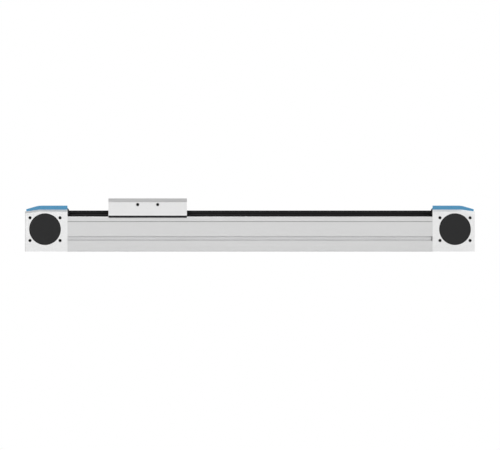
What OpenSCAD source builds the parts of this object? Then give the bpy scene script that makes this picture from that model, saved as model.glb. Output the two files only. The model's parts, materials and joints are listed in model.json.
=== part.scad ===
// Belt driven linear axis: a closed aluminium profile with a ball guide rail on its top,
// a slide on two recirculating ball carriages, and a drive housing with a toothed pulley
// at each end. X is the travel, Z is up, the origin is the middle of the underside.
// All sizes are in millimetres. The +X end is drawn, and the -X end is its mirror image.

/* [Axis] */
// Length over both drive housings
axis_length = 540; // [440:10:1200]
// Distance of the slide from its left buffer
slide_place = 47.3; // [0.3:0.1:339.9]

/* [Profile] */
// Width of the profile
profile_w = 68; // [66:0.5:69]
// Height of the profile
profile_h = 42.1; // [41.6:0.1:43]
// Radius of the profile's long edges
profile_edge_r = 1; // [0.5:0.1:1.4]
// Wall between the profile's chambers
profile_wall = 2.5; // [2:0.1:2.8]
// Mouth width of the mounting slots
slot_mouth = 5.2; // [4.8:0.1:5.6]
// Thickness of the lips that hold a slot nut
slot_lip = 1.9; // [1.5:0.1:2.2]
// Width of the slot behind its lips
slot_room_w = 11.4; // [10:0.1:12]
// Depth of the slot behind its lips
slot_room_h = 4.6; // [4.3:0.1:4.8]
// Distance between the two slots of the underside
underside_slot_pitch = 28; // [27:0.5:29]
// Height of the middle of the side slots
side_slot_z = 15.7; // [15.4:0.1:16.2]
// Height of the fine groove along each side
side_groove_z = 36; // [34:0.5:38]
// Width of the fine groove
side_groove_w = 0.8; // [0.5:0.1:1.2]
// Depth of the fine groove
side_groove_depth = 0.7; // [0.4:0.1:1]
// Gap between the slot covers and the +X drive housing
slot_cover_gap = 1.8; // [0.5:0.1:4]

/* [Guide rail] */
// Width of the rail
rail_w = 24; // [23:0.5:25]
// Depth of the rail's seat in the profile
rail_seat = 2.7; // [2.3:0.1:3]
// Height of the rail's lips over the profile
rail_rise = 6.8; // [6.6:0.1:7]
// Thickness of the lips beside the belt
rail_lip = 2.7; // [2.5:0.1:2.9]
// Depth of the belt channel between the lips
rail_channel = 3.4; // [3.2:0.1:3.5]
// Distance between the rail screws
rail_screw_pitch = 40; // [30:5:60]

/* [Belt] */
// Width of the belt
belt_w = 15; // [13:0.5:15.5]
// Tooth pitch of the belt
belt_pitch = 3; // [2.95:0.01:3.05]
// Thickness of the belt over its teeth
belt_t = 2.41; // [2.3:0.01:2.5]
// Height of a belt tooth
belt_tooth_h = 1.22; // [1.1:0.01:1.25]
// Depth of the pitch line above the root of the teeth
belt_pitch_line = 0.381; // [0.35:0.01:0.42]
// Height of the belt's back over the profile
belt_rise = 7.2; // [7.1:0.1:7.4]

/* [Pulleys] */
// Teeth of a drive pulley
pulley_teeth = 26; // [25:1:27]
// Height of the pulley axis over the underside
pulley_z = 26.9; // [26.4:0.1:27.2]
// Distance from the outer end to the pulley axis
pulley_inset = 24; // [23:0.1:25]
// Diameter of the pulley shaft
shaft_d = 15; // [14:0.5:15]
// Bore of the hollow pulley shaft
shaft_bore_d = 8; // [6:0.5:10]
// Thickness of a pulley flange
flange_t = 1.4; // [1:0.1:1.5]
// Height of a pulley flange over the belt's back
flange_rise = 1.1; // [0.6:0.1:1.3]
// Diameter of the deflection rollers
roller_d = 10; // [9:0.5:10.5]
// Distance from the housing's inner face to the roller axis
roller_inset = 7; // [6.5:0.1:9]
// Diameter of the roller axle
roller_axle_d = 5; // [4:0.5:5]

/* [Ball bearings] */
// Outside diameter of a pulley bearing
bearing_d = 28; // [27:0.5:29]
// Width of a pulley bearing
bearing_t = 7; // [6.5:0.1:7]
// Land that holds a bearing's circlip, under the motor recess
bearing_land = 1; // [0.8:0.1:1.4]
// Balls in a pulley bearing
bearing_balls = 9; // [7:1:10]
// Diameter of a bearing ball
bearing_ball_d = 3.97; // [3.8:0.01:4.1]

/* [Drive housings] */
// Length of a drive housing
housing_l = 51; // [50:0.5:53]
// How far a drive housing stands out beside the profile
housing_step = 0.5; // [0.2:0.1:0.8]
// Height of a drive housing above the belt
housing_rise = 1.2; // [1.1:0.1:2.2]
// Chamfer along the housing's upper edges
housing_chamfer = 2.9; // [2:0.1:4]
// Distance from the pulley axis to the start of the falling top
knee_out = 7.5; // [5:0.5:9]
// Slope of the falling top in degrees
top_slope = 8; // [6:1:10]
// Radius where the top starts to fall
knee_r = 24; // [10:1:30]
// Diameter of the round recess for a motor flange
recess_d = 38; // [36:0.5:38.5]
// Depth of the round recess
recess_depth = 3.1; // [2.6:0.1:3.2]
// Distance between the flange holes along X
flange_hole_x = 36.1; // [35.5:0.1:37]
// Distance between the flange holes along Z
flange_hole_z = 27.3; // [27:0.1:28.5]
// Core diameter of the flange threads
flange_hole_d = 3.3; // [3:0.1:3.4]
// Depth of the flange threads
flange_hole_depth = 9; // [6:0.5:9]

/* [Covers and buffers] */
// Height of the top cover's side
cover_rise = 4.7; // [4.4:0.1:5.2]
// Slope of the top cover's falling end in degrees
cover_slope = 16; // [12:1:17]
// Distance from the top cover's end to the outer end
cover_inset = 1.5; // [1:0.1:2.5]
// Wall of the top cover
cover_wall = 1.8; // [1.2:0.1:2]
// Chamfer along the top cover's edges
cover_chamfer = 0.8; // [0.3:0.1:1.2]
// Thickness of a round bearing cover
disc_t = 2.8; // [2.2:0.1:2.9]
// How far an end buffer stands out of the housing
buffer_out = 1.8; // [1:0.1:3]
// Height of a buffer's crest over the housing
buffer_rise = 2; // [1:0.1:2.5]

/* [Slide] */
// Length of the slide
slide_l = 94.2; // [92:0.1:110]
// How far the slide stands out beside the profile
slide_step = 1; // [0.8:0.1:2]
// Height of the slide's underside over the profile
slide_gap = 1.1; // [0.8:0.1:1.3]
// Height of the slide over its own underside
slide_h = 20.6; // [20:0.1:22]
// Chamfer along the slide's upper edges
slide_chamfer = 4.5; // [3:0.1:5]
// Core diameter of the side threads
side_hole_d = 3.3; // [3:0.1:3.5]
// Distance between the side threads
side_hole_pitch = 24; // [20:0.5:30]
// Distance from the slide's top to the side threads
side_hole_drop = 7.4; // [7:0.1:8]
// Depth of the side threads
side_hole_depth = 6; // [5:0.5:7]
// Core diameter of the top threads
top_hole_d = 4.2; // [4:0.1:4.4]
// Depth of the top threads
top_hole_depth = 10; // [8:0.5:10]
// Distance between the top threads along X
top_hole_x = 40; // [38:1:41]
// Distance between the top threads along Y
top_hole_y = 54; // [53:0.5:55]
// Diameter of the centring bores on the top
centring_d = 7; // [6:0.5:7]
// Depth of the centring bores
centring_depth = 2.1; // [1.5:0.1:3]

/* [Ball carriages] */
// Width of a carriage
carriage_w = 44; // [43.5:0.5:44.5]
// Height of a carriage's top over the profile
carriage_top = 10.7; // [10.4:0.1:11]
// Length of a carriage's steel block
block_l = 18; // [17.5:0.5:19]
// Thickness of a carriage's end cap
end_cap_t = 5; // [4.6:0.1:5.2]
// Diameter of a carriage ball
ball_d = 3.175; // [3.1:0.005:3.2]
// Height of the ball track over the profile
track_rise = 2.9; // [2.8:0.1:3]
// Distance between the loaded and the returning balls
track_pitch = 4.8; // [4.7:0.1:5]
// Thickness of a wiper
wiper_t = 2.6; // [2:0.1:2.8]
// How far a wiper lies behind the slide's end
wiper_recess = 0.7; // [0.3:0.1:1.2]

/* [Fasteners and threads] */
// Thread of the housing screws and the rail screws
screw_d = 4; // [3.8:0.1:4]
// Thread of the carriage screws and the clamp screws
small_screw_d = 3; // [2.5:0.1:3]
// Thread of the wiper screws
wiper_screw_d = 2; // [1.6:0.1:2]
// Chamfer at the mouth of a thread
mouth_chamfer = 0.45; // [0.2:0.05:0.6]

/* [Hidden] */
$fn = 64;

// Clearances
press_gap = 0.03;   // a ring in its seat, a ball in its track
thread_gap = 0.05;  // a screw in its thread, a shaft in its bush
loose_gap = 0.3;    // a moving piece beside a fixed one
hole_gap = 0.25;    // round a screw that passes through
mesh_gap = 0.15;    // a belt tooth in its groove
eps = 0.01;

// Places along X
end_x = axis_length / 2;
inner_x = end_x - housing_l;
profile_l = 2 * inner_x;
pulley_x = end_x - pulley_inset;
roller_x = inner_x + roller_inset;
slide_x = slide_place + buffer_out + slide_l / 2 - inner_x;

// Widths over the profile's own
housing_w = profile_w + 2 * housing_step;
slide_w = profile_w + 2 * slide_step;

// Heights
belt_top = profile_h + belt_rise;
housing_h = belt_top + housing_rise;
rail_top = profile_h + rail_rise;
rail_floor = rail_top - rail_channel;
rail_base = profile_h - rail_seat;
slide_z = profile_h + slide_gap;
slide_top = slide_z + slide_h;
block_top = profile_h + carriage_top;
rail_head_drop = 3;
rail_screw_l = 8.2;
rail_wall = 5.9;
core_half = 10.5;
track_z = profile_h + track_rise;

// Belt loop: a pitch line round two pulleys and two deflection rollers
belt_back = belt_t - belt_tooth_h - belt_pitch_line;
tooth_root_half = 0.95;
tooth_tip_half = 0.55;
pulley_r = belt_pitch * pulley_teeth / (2 * PI);
roller_r = roller_d / 2 + thread_gap + belt_tooth_h + belt_pitch_line;
strand_low = pulley_z - pulley_r;
strand_high = belt_top - belt_back;
roller_z = strand_high - roller_r;
wheel_dx = pulley_x - roller_x;
wheel_dz = roller_z - pulley_z;
wheel_dist = sqrt(wheel_dx * wheel_dx + wheel_dz * wheel_dz);
belt_slope = atan2(wheel_dz, wheel_dx) - asin((pulley_r - roller_r) / wheel_dist);
arc_unit = PI / 180;
run_low = pulley_x;
run_pulley = pulley_r * (180 - belt_slope) * arc_unit;
run_slope = sqrt(pow(wheel_dist, 2) - pow(pulley_r - roller_r, 2));
run_roller = roller_r * belt_slope * arc_unit;
run_high = roller_x;
mark_pulley = run_low + run_pulley;
mark_slope = mark_pulley + run_slope;
mark_roller = mark_slope + run_roller;
half_loop = mark_roller + run_high;
belt_teeth = round(2 * half_loop / belt_pitch);
tooth_step = 2 * half_loop / belt_teeth;
tooth_grid = belt_teeth % 2 == 0 ? 0 : tooth_step / 2;
pulley_tip_r = pulley_r - belt_pitch_line - thread_gap;
flange_r = pulley_r + belt_back + flange_rise;

// Housing
pocket_half = 11;
pocket_drop = flange_r + 1;
end_wall = 4;
circlip_t = 1;
circlip_y = housing_w / 2 - recess_depth - bearing_land - circlip_t;
bearing_y = circlip_y - bearing_t;
shaft_half = circlip_y + circlip_t + 0.5;
spacer_wall = 0.9;
web_bore_r = shaft_d / 2 + spacer_wall + 0.2;
rim_half = 8.1;
bearing_pitch_r = (bearing_d + shaft_d) / 4;
ring_gap = 1.25;
recess_y = housing_w / 2 - recess_depth;
counterbore = screw_d + 0.4;
head_d = screw_d * 1.75;
upper_screw = [bearing_y - head_d / 2 - 1.9, rail_base - 1];
lower_screw = [profile_w / 2 - 7.5, 6];
screw_in_profile = 14;
knee_steps = 6;
cover_half = housing_w / 2 - housing_chamfer;
axle_half = 14.2;
roller_half = pocket_half - 0.4;
bush_wall = 1;
buffer_seat = 2.5;
buffer_half = profile_w / 2 - 4;
buffer_leg = 6;
peg_d = 4;
peg_y = cover_half - cover_wall - peg_d - 0.8;
peg_depth = 4.5;

// Slide
tunnel_half = carriage_w / 2 + 0.8;
carriage_x = slide_l / 2 - wiper_recess - wiper_t - end_cap_t - block_l / 2;
jaw_gap = 0.4;
jaw_l = carriage_x - block_l / 2 - end_cap_t - 2 * jaw_gap;
jaw_half = rail_w / 2 - rail_lip - loose_gap;
jaw_flange_half = 16.5;
jaw_root = strand_high - belt_pitch_line - thread_gap;
jaw_screw_y = 12.6;
jaw_screw_x = jaw_gap + jaw_l / 2;
block_inner = rail_w / 2 + 0.85;
roof_z = belt_top + 0.6;
track_y = rail_w / 2 + 0.42;
track_r = ball_d / 2 + press_gap;
turn_r = track_pitch / 2;
turn_y = track_y + turn_r;
loop_l = 2 * block_l + 2 * PI * turn_r;
loop_balls = floor(loop_l / (ball_d * 1.12));
block_screw = [5.5, 15];
small_head_d = small_screw_d * 1.85;
small_counterbore = small_screw_d + 0.3;
head_seat_z = slide_top - small_counterbore;
wiper_screw = [carriage_w / 2 - 2.2, block_top - 2.6];
wiper_arm_half = slide_w / 2 - 0.6;
wiper_arm_top = slide_z + 1.2;
nipple_d = 6;
nipple_l = 5;
nipple_y = slide_w / 2 - nipple_d;
nipple_z = slide_z + nipple_d / 2 + 3.5;
oil_way_d = 2;

// ---- Helpers ----

module left_end() {
    mirror([1, 0, 0]) children();
}

module left_of_slide() {
    translate([2 * slide_x, 0, 0]) mirror([1, 0, 0]) children();
}

module front_and_rear() {
    children();
    mirror([0, 1, 0]) children();
}

module left_and_right() {
    children();
    mirror([1, 0, 0]) children();
}

// A flat YZ section drawn out along X from x0
module along_x(x0, length) {
    translate([x0, 0, 0]) rotate([90, 0, 90]) linear_extrude(length) children();
}

// A flat XZ section drawn out along Y, centred on the middle plane
module across_y(width) {
    rotate([90, 0, 0]) linear_extrude(width, center = true) children();
}

module rod_x(x0, x1, d) {
    translate([x0, 0, 0]) rotate([0, 90, 0]) cylinder(h = x1 - x0, d = d);
}

module rod_y(y0, y1, d) {
    translate([0, y0, 0]) rotate([-90, 0, 0]) cylinder(h = y1 - y0, d = d);
}

module tube(length, outer, inner) {
    difference() {
        cylinder(h = length, d = outer, center = true);
        cylinder(h = length + 1, d = inner, center = true);
    }
}

// Core hole of a thread, down from z = 0, with a chamfered mouth
module thread_hole(d, depth) {
    translate([0, 0, -depth]) cylinder(h = depth + 1, d = d);
    translate([0, 0, -mouth_chamfer])
        cylinder(h = 2 * mouth_chamfer, d1 = d, d2 = d + 4 * mouth_chamfer);
}

// Socket head screw: head above z = 0, shank below
module socket_screw(d, length, head_h) {
    difference() {
        union() {
            cylinder(h = head_h - 0.3, d = d * 1.75);
            translate([0, 0, head_h - 0.3]) cylinder(h = 0.3, d1 = d * 1.75, d2 = d * 1.75 - 0.6);
            translate([0, 0, -length]) cylinder(h = length + head_h / 2, d = d);
        }
        translate([0, 0, head_h * 0.45]) cylinder(h = head_h, d = d * 0.87, $fn = 6);
    }
}

// A line at off over a drive housing's flat top, which falls by slope from the knee to to_x
function top_line(off, slope, to_x = end_x) = let (
    r = knee_r + off,
    from_x = pulley_x + knee_out - r * tan(slope / 2),
    arc = [for (i = [0:knee_steps]) let (a = i * slope / knee_steps)
        [from_x + r * sin(a), housing_h - knee_r + r * cos(a)]],
    last = arc[knee_steps]
) concat([[inner_x, housing_h + off]], arc,
    [[to_x, last[1] - (to_x - last[0]) * tan(slope)]]);

function reversed(list) = [for (i = [len(list) - 1:-1:0]) list[i]];

// ---- Profile and its strips ----

module slot_section() {
    translate([-slot_mouth / 2, -1]) square([slot_mouth, slot_lip + 1 + eps]);
    translate([-slot_room_w / 2, slot_lip]) square([slot_room_w, slot_room_h]);
}

module profile_outline() {
    r = profile_edge_r;
    translate([-profile_w / 2 + r, 0]) square([profile_w - 2 * r, profile_h]);
    translate([-profile_w / 2, r]) square([profile_w, profile_h - 2 * r]);
    for (y = [r - profile_w / 2, profile_w / 2 - r], z = [r, profile_h - r])
        translate([y, z]) circle(r);
}

// Hollows of the profile's +Y half, the middle ones reach over the centre line
module profile_hollows() {
    channel_low = strand_low - 4;
    channel_high = strand_low + 5.5;
    side_in = profile_w / 2 - slot_lip - slot_room_h - profile_wall;
    floor_z = slot_lip + slot_room_h + profile_wall + 1;
    core_top = rail_base - rail_wall;
    // belt channel and the core above it
    translate([-core_half, channel_low]) square([2 * core_half, channel_high - channel_low]);
    translate([-core_half, channel_high + profile_wall])
        square([2 * core_half, core_top - channel_high - profile_wall]);
    // side chambers
    translate([core_half + profile_wall, floor_z])
        square([side_in - core_half - profile_wall, core_top - 1 - floor_z]);
    chamber_z = side_slot_z + slot_room_w / 2 + profile_wall;
    translate([side_in + 2, chamber_z])
        square([profile_w / 2 - profile_wall - side_in - 2, profile_h - 3 - chamber_z]);
    // screw channels of the drive housings
    translate(upper_screw) circle(d = screw_d + 2 * thread_gap);
    translate(lower_screw) circle(d = screw_d + 2 * thread_gap);
    // slots
    translate([underside_slot_pitch / 2, 0]) slot_section();
    translate([profile_w / 2, side_slot_z]) rotate(90) slot_section();
    // fine groove
    translate([profile_w / 2 - side_groove_depth, side_groove_z - side_groove_w / 2])
        square([side_groove_depth + 1, side_groove_w]);
}

module rail_screw_places() {
    count = floor((profile_l - 20) / rail_screw_pitch / 2);
    for (i = [-count:count]) translate([i * rail_screw_pitch, 0, 0]) children();
}

module profile() color([0.82, 0.82, 0.82]) difference() {
    along_x(-profile_l / 2, profile_l) difference() {
        profile_outline();
        profile_hollows();
        mirror([1, 0]) profile_hollows();
        translate([-rail_w / 2 - thread_gap, rail_base])
            square([rail_w + 2 * thread_gap, rail_seat + 1]);
    }
    rail_screw_places() translate([0, 0, rail_base - rail_wall - 1])
        cylinder(h = rail_wall + 2, d = screw_d + 2 * thread_gap);
}

// Strip that closes a side slot: a raised middle with lowered edges and two clip legs
module slot_cover() color([0.79, 0.79, 0.8])
    along_x(-profile_l / 2, profile_l - slot_cover_gap)
        translate([profile_w / 2, side_slot_z]) {
            face = 0.3;
            edge = 1.1;
            half = slot_mouth / 2 - thread_gap;
            leg = slot_lip + 0.9;
            polygon([
                [-face, -half + 1.1], [-face, half - 1.1], [-edge, half - 0.7], [-edge, half],
                [-slot_lip, half], [-slot_lip - 0.2, half + 0.3], [-leg, half - 0.2],
                [-leg, half - 0.9], [-edge - 0.5, half - 0.9],
                [-edge - 0.5, -half + 0.9], [-leg, -half + 0.9], [-leg, -half + 0.2],
                [-slot_lip - 0.2, -half - 0.3], [-slot_lip, -half], [-edge, -half],
                [-edge, -half + 0.7]
            ]);
        }

// ---- Guide rail ----

module guide_rail() color([0.14, 0.14, 0.15]) difference() {
    along_x(-profile_l / 2 + 0.1, profile_l - 0.2) difference() {
        translate([-rail_w / 2, rail_base]) square([rail_w, rail_top - rail_base]);
        translate([-rail_w / 2 + rail_lip, rail_floor])
            square([rail_w - 2 * rail_lip, rail_channel + 1]);
        for (side = [-1, 1]) translate([side * track_y, track_z]) circle(track_r);
    }
    rail_screw_places() {
        translate([0, 0, rail_base - 1])
            cylinder(h = rail_top - rail_base, d = screw_d + 2 * hole_gap);
        translate([0, 0, rail_floor - rail_head_drop])
            cylinder(h = rail_channel + rail_head_drop + 1, d = head_d + 2 * hole_gap);
    }
}

module rail_screws() color([0.3, 0.3, 0.32])
    rail_screw_places() translate([0, 0, rail_floor - rail_head_drop])
        socket_screw(screw_d, rail_screw_l, rail_head_drop - 0.2);

// ---- Drive housings ----

module flange_hole_places() {
    for (x = [-1, 1], z = [-1, 1])
        translate([pulley_x + x * flange_hole_x / 2, 0, pulley_z + z * flange_hole_z / 2])
            children();
}

module housing_screw_places() {
    for (side = [-1, 1], p = [upper_screw, lower_screw])
        translate([0, side * p[0], p[1]]) children();
}

module peg_places() {
    for (x = [roller_x, pulley_x - 2], side = [-1, 1])
        translate([x, side * peg_y, housing_h]) children();
}

module buffer_section(high, grow) {
    low = profile_h + 1.5;
    difference() {
        translate([-buffer_half - grow, low - grow])
            square([2 * (buffer_half + grow), high - low + 2 * grow]);
        translate([-buffer_half + buffer_leg + grow, low - grow - 1])
            square([2 * (buffer_half - buffer_leg - grow), belt_top + 0.4 - low + 1]);
    }
}

module housing_cavities() {
    // belt pocket, milled from the top and open to the profile
    across_y(2 * pocket_half) translate([inner_x - 1, pulley_z - pocket_drop])
        square([housing_l - end_wall + 1, housing_h]);
    translate([pulley_x, 0, pulley_z]) {
        rod_y(-housing_w, housing_w, 2 * web_bore_r);
        front_and_rear() {
            rod_y(bearing_y, housing_w, bearing_d + 2 * press_gap);
            rod_y(circlip_y, circlip_y + circlip_t + 0.1, bearing_d + 1.8);
            rod_y(recess_y, housing_w, recess_d);
        }
    }
    front_and_rear() flange_hole_places() translate([0, housing_w / 2, 0])
        rotate([-90, 0, 0]) thread_hole(flange_hole_d, flange_hole_depth);
    housing_screw_places() {
        rod_x(inner_x - 1, end_x + 1, screw_d + 2 * hole_gap);
        rod_x(end_x - counterbore, end_x + 1, head_d + 2 * hole_gap);
    }
    // open seats that the roller axle drops into
    translate([roller_x, 0, roller_z]) {
        rod_y(-axle_half - 0.1, axle_half + 0.1, roller_axle_d + 2 * thread_gap);
        translate([-roller_axle_d / 2 - thread_gap, -axle_half - 0.1, 0])
            cube([roller_axle_d + 2 * thread_gap, 2 * axle_half + 0.2, housing_h]);
    }
    peg_places() translate([0, 0, -peg_depth - 0.5])
        cylinder(h = peg_depth + 2, d = peg_d + 4 * thread_gap);
    // seat of the end buffer
    along_x(inner_x - 1, buffer_seat + 1.1) buffer_section(housing_h - 0.1, 0.1);
}

// Square bar that cuts a 45 degree chamfer of the given leg along X from a corner line
module chamfer_bar(length, leg) {
    rotate([45, 0, 0]) cube([length, leg * sqrt(2), leg * sqrt(2)], center = true);
}

// Chamfers along both upper edges of a body whose top follows top_line(off, slope)
module top_chamfers(half_w, off, slope, leg) {
    line = top_line(off, slope);
    knee = line[1 + knee_steps];
    knee_l = (knee_r + off) * slope * arc_unit;
    for (side = [-1, 1]) {
        translate([inner_x, side * half_w, housing_h + off])
            chamfer_bar(2 * (line[1][0] - inner_x) + knee_l, leg);
        translate([knee[0], side * half_w, knee[1]]) rotate([0, slope, 0])
            chamfer_bar(2 * (end_x - knee[0]) + 2 * knee_l, leg);
    }
}

module drive_housing() color([0.88, 0.88, 0.89]) difference() {
    across_y(housing_w)
        polygon(concat([[inner_x, 0], [end_x, 0]], reversed(top_line(0, top_slope))));
    top_chamfers(housing_w / 2, 0, top_slope, housing_chamfer);
    // soft outer corners
    for (side = [-1, 1]) translate([end_x, side * housing_w / 2, 0])
        rotate([0, 0, 45]) cube([1, 1, 3 * housing_h], center = true);
    housing_cavities();
}

module housing_screws() color([0.25, 0.25, 0.27])
    housing_screw_places() translate([end_x - counterbore, 0, 0]) rotate([0, 90, 0])
        socket_screw(screw_d, housing_l - counterbore + screw_in_profile, screw_d);

module top_cover() color([0.3, 0.6, 0.77]) {
    roof = cover_rise - cover_wall;
    cover_end = end_x - cover_inset;
    difference() {
        across_y(2 * cover_half) polygon(concat(top_line(0, top_slope, cover_end),
            reversed(top_line(cover_rise, cover_slope, cover_end))));
        across_y(2 * (cover_half - cover_wall)) intersection() {
            polygon(concat(top_line(-1, top_slope), reversed(top_line(roof, cover_slope))));
            translate([inner_x + cover_wall, 0])
                square([cover_end - inner_x - 2 * cover_wall, 2 * housing_h]);
        }
        top_chamfers(cover_half, cover_rise, cover_slope, cover_chamfer);
    }
    peg_places() translate([0, 0, -peg_depth]) cylinder(h = peg_depth + roof + 0.5, d = peg_d);
    // posts that hold the roller axle down, beside the belt pocket
    post_y = pocket_half + 0.4;
    post_z = roller_z + roller_axle_d / 2 + thread_gap;
    front_and_rear() translate([roller_x - roller_axle_d / 2 + loose_gap, post_y, post_z])
        cube([roller_axle_d - 2 * loose_gap, axle_half - 0.2 - post_y,
            housing_h + roof + 0.5 - post_z]);
}

module bearing_cover() color([0.19, 0.19, 0.19]) translate([pulley_x, 0, pulley_z])
    rotate([90, 0, 0]) {
        rim = 0.6;
        d = recess_d - 2 * thread_gap;
        translate([0, 0, recess_y]) cylinder(h = disc_t - rim, d = d);
        translate([0, 0, recess_y + disc_t - rim]) cylinder(h = rim, d1 = d, d2 = d - 2 * rim);
        // collar that centres the cover in the bearing bore
        translate([0, 0, recess_y - 0.6]) difference() {
            cylinder(h = 1, d = bearing_d - 2 * thread_gap);
            translate([0, 0, -1]) cylinder(h = 1.7, d = bearing_d - 4);
        }
    }

module end_buffer() color([0.16, 0.17, 0.18]) {
    crest = housing_h + buffer_rise;
    along_x(inner_x - eps, buffer_seat + eps) buffer_section(housing_h - 0.1, 0);
    // the crest of the free part slopes down to the belt
    difference() {
        along_x(inner_x - buffer_out, buffer_out) buffer_section(crest, 0);
        across_y(housing_w) polygon([
            [inner_x, crest], [inner_x - buffer_out, belt_top + 1.1],
            [inner_x - buffer_out - 1, belt_top + 1.1], [inner_x - buffer_out - 1, crest + 1],
            [inner_x, crest + 1]
        ]);
    }
}

// ---- Pulleys and their bearings ----

module at_pulley() {
    translate([pulley_x, 0, pulley_z]) children();
}

module at_bearings() {
    for (side = [-1, 1])
        translate([pulley_x, side * (bearing_y + bearing_t / 2), pulley_z])
            rotate([90, 0, 0]) children();
}

module ball_groove() {
    rotate_extrude() translate([bearing_pitch_r, 0]) circle(bearing_ball_d / 2 + press_gap);
}

module outer_rings() color([0.75, 0.76, 0.78]) at_bearings() difference() {
    tube(bearing_t, bearing_d, 2 * (bearing_pitch_r + ring_gap));
    ball_groove();
}

module inner_rings() color([0.75, 0.76, 0.78]) at_bearings() difference() {
    tube(bearing_t, 2 * (bearing_pitch_r - ring_gap), shaft_d + 2 * press_gap);
    ball_groove();
}

module bearing_ball_places() {
    for (i = [0:bearing_balls - 1])
        rotate([0, 0, i * 360 / bearing_balls]) translate([bearing_pitch_r, 0, 0]) children();
}

module bearing_ball_sets() color([0.8, 0.8, 0.82]) at_bearings()
    bearing_ball_places() sphere(d = bearing_ball_d);

module ball_cages() color([0.7, 0.55, 0.3]) at_bearings() difference() {
    tube(bearing_t - 1.6, 2 * bearing_pitch_r + 1.4, 2 * bearing_pitch_r - 1.4);
    bearing_ball_places() rotate([0, 90, 0])
        cylinder(h = 4, d = bearing_ball_d + 4 * thread_gap, center = true);
}

module circlip(outer, inner) {
    difference() {
        tube(circlip_t, outer, inner);
        translate([0, -outer, 0]) cube([outer / 6, 2 * outer, 2 * circlip_t], center = true);
    }
}

module bore_circlips() color([0.4, 0.4, 0.42]) for (side = [-1, 1])
    at_pulley() translate([0, side * (circlip_y + circlip_t / 2), 0]) rotate([90, 0, 0])
        circlip(bearing_d + 1.6, bearing_d - 3.4);

module shaft_circlips() color([0.4, 0.4, 0.42]) for (side = [-1, 1])
    at_pulley() translate([0, side * (circlip_y + circlip_t / 2), 0]) rotate([90, 0, 0])
        circlip(shaft_d + 2.6, shaft_d - 0.9);

module pulley_shaft() color([0.6, 0.6, 0.62]) at_pulley() difference() {
    rod_y(-shaft_half, shaft_half, shaft_d);
    rod_y(-shaft_half - 1, shaft_half + 1, shaft_bore_d);
    front_and_rear() translate([0, circlip_y + circlip_t / 2, 0]) rotate([90, 0, 0])
        tube(circlip_t + 0.1, shaft_d + 1, shaft_d - 1);
}

module spacer_sleeves() color([0.65, 0.65, 0.67]) for (side = [-1, 1]) {
    from = rim_half + flange_t;
    at_pulley() translate([0, side * (from + bearing_y) / 2, 0]) rotate([90, 0, 0])
        tube(bearing_y - from, shaft_d + 2 * spacer_wall, shaft_d + 2 * press_gap);
}

// Groove for one belt tooth, pointing from the pulley's rim to its middle
module tooth_groove(root_r) {
    tip_r = root_r - belt_tooth_h - mesh_gap;
    top_half = tooth_root_half + mesh_gap;
    low_half = tooth_tip_half + mesh_gap;
    flare = top_half - low_half;
    polygon([
        [tip_r, -low_half], [root_r, -top_half], [root_r + 1, -top_half - flare],
        [root_r + 1, top_half + flare], [root_r, top_half], [tip_r, low_half]
    ]);
}

module drive_pulley() color([0.72, 0.73, 0.75]) at_pulley() {
    first_tooth = ceil(run_low / tooth_step) * tooth_step;
    first_angle = (first_tooth - run_low) / pulley_r / arc_unit - 90;
    difference() {
        union() {
            across_y(2 * rim_half) difference() {
                circle(pulley_tip_r);
                for (i = [0:pulley_teeth - 1])
                    rotate(first_angle + i * 360 / pulley_teeth)
                        tooth_groove(pulley_r - belt_pitch_line);
            }
            front_and_rear() rod_y(rim_half - eps, rim_half + flange_t, 2 * flange_r);
        }
        rod_y(-rim_half - flange_t - 1, rim_half + flange_t + 1, shaft_d + 2 * press_gap);
    }
}

module at_roller() {
    translate([roller_x, 0, roller_z]) rotate([90, 0, 0]) children();
}

module deflection_roller() color([0.7, 0.71, 0.73]) at_roller()
    tube(2 * roller_half, roller_d, roller_axle_d + 2 * bush_wall + 4 * press_gap);

module roller_bush() color([0.72, 0.55, 0.3]) at_roller()
    tube(2 * roller_half, roller_axle_d + 2 * bush_wall + 2 * press_gap,
        roller_axle_d + 2 * thread_gap);

module roller_axle() color([0.6, 0.6, 0.62]) at_roller()
    cylinder(h = 2 * axle_half, d = roller_axle_d, center = true);

// ---- Belt ----

// Point of the belt at run s from the middle of the lower strand, off outside the pitch line
function half_point(s, off) =
    s <= run_low ? [s, strand_low - off]
    : s <= mark_pulley ? let (a = (s - run_low) / pulley_r / arc_unit - 90)
        [pulley_x + (pulley_r + off) * cos(a), pulley_z + (pulley_r + off) * sin(a)]
    : s <= mark_slope ? let (a = 90 - belt_slope, u = s - mark_pulley)
        [pulley_x + (pulley_r + off) * cos(a) - u * cos(belt_slope),
         pulley_z + (pulley_r + off) * sin(a) + u * sin(belt_slope)]
    : s <= mark_roller ? let (a = 90 - belt_slope + (s - mark_slope) / roller_r / arc_unit)
        [roller_x + (roller_r + off) * cos(a), roller_z + (roller_r + off) * sin(a)]
    : [half_loop - s, strand_high + off];

function belt_point(s, off) =
    s < 0 ? belt_point(s + 2 * half_loop, off)
    : s <= half_loop ? half_point(s, off)
    : let (p = half_point(2 * half_loop - s, off)) [-p[0], p[1]];

module toothed_belt() color([0.1, 0.1, 0.11]) {
    root = -belt_pitch_line;
    tip = root - belt_tooth_h;
    inside = [for (k = [0:belt_teeth - 1]) each [
        belt_point(k * tooth_step - tooth_root_half, root),
        belt_point(k * tooth_step - tooth_tip_half, tip),
        belt_point(k * tooth_step + tooth_tip_half, tip),
        belt_point(k * tooth_step + tooth_root_half, root)
    ]];
    bends = concat(
        [for (i = [0:36]) run_low + run_pulley * i / 36],
        [for (i = [0:8]) mark_slope + run_roller * i / 8]
    );
    back = concat(
        [for (s = bends) belt_point(s, belt_back)],
        [for (s = reversed(bends)) belt_point(2 * half_loop - s, belt_back)]
    );
    outer_path = [for (i = [0:len(back) - 1]) i];
    inner_path = [for (i = [0:len(inside) - 1]) len(back) + i];
    across_y(belt_w) polygon(concat(back, inside), [outer_path, inner_path]);
}

// ---- Slide ----

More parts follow.
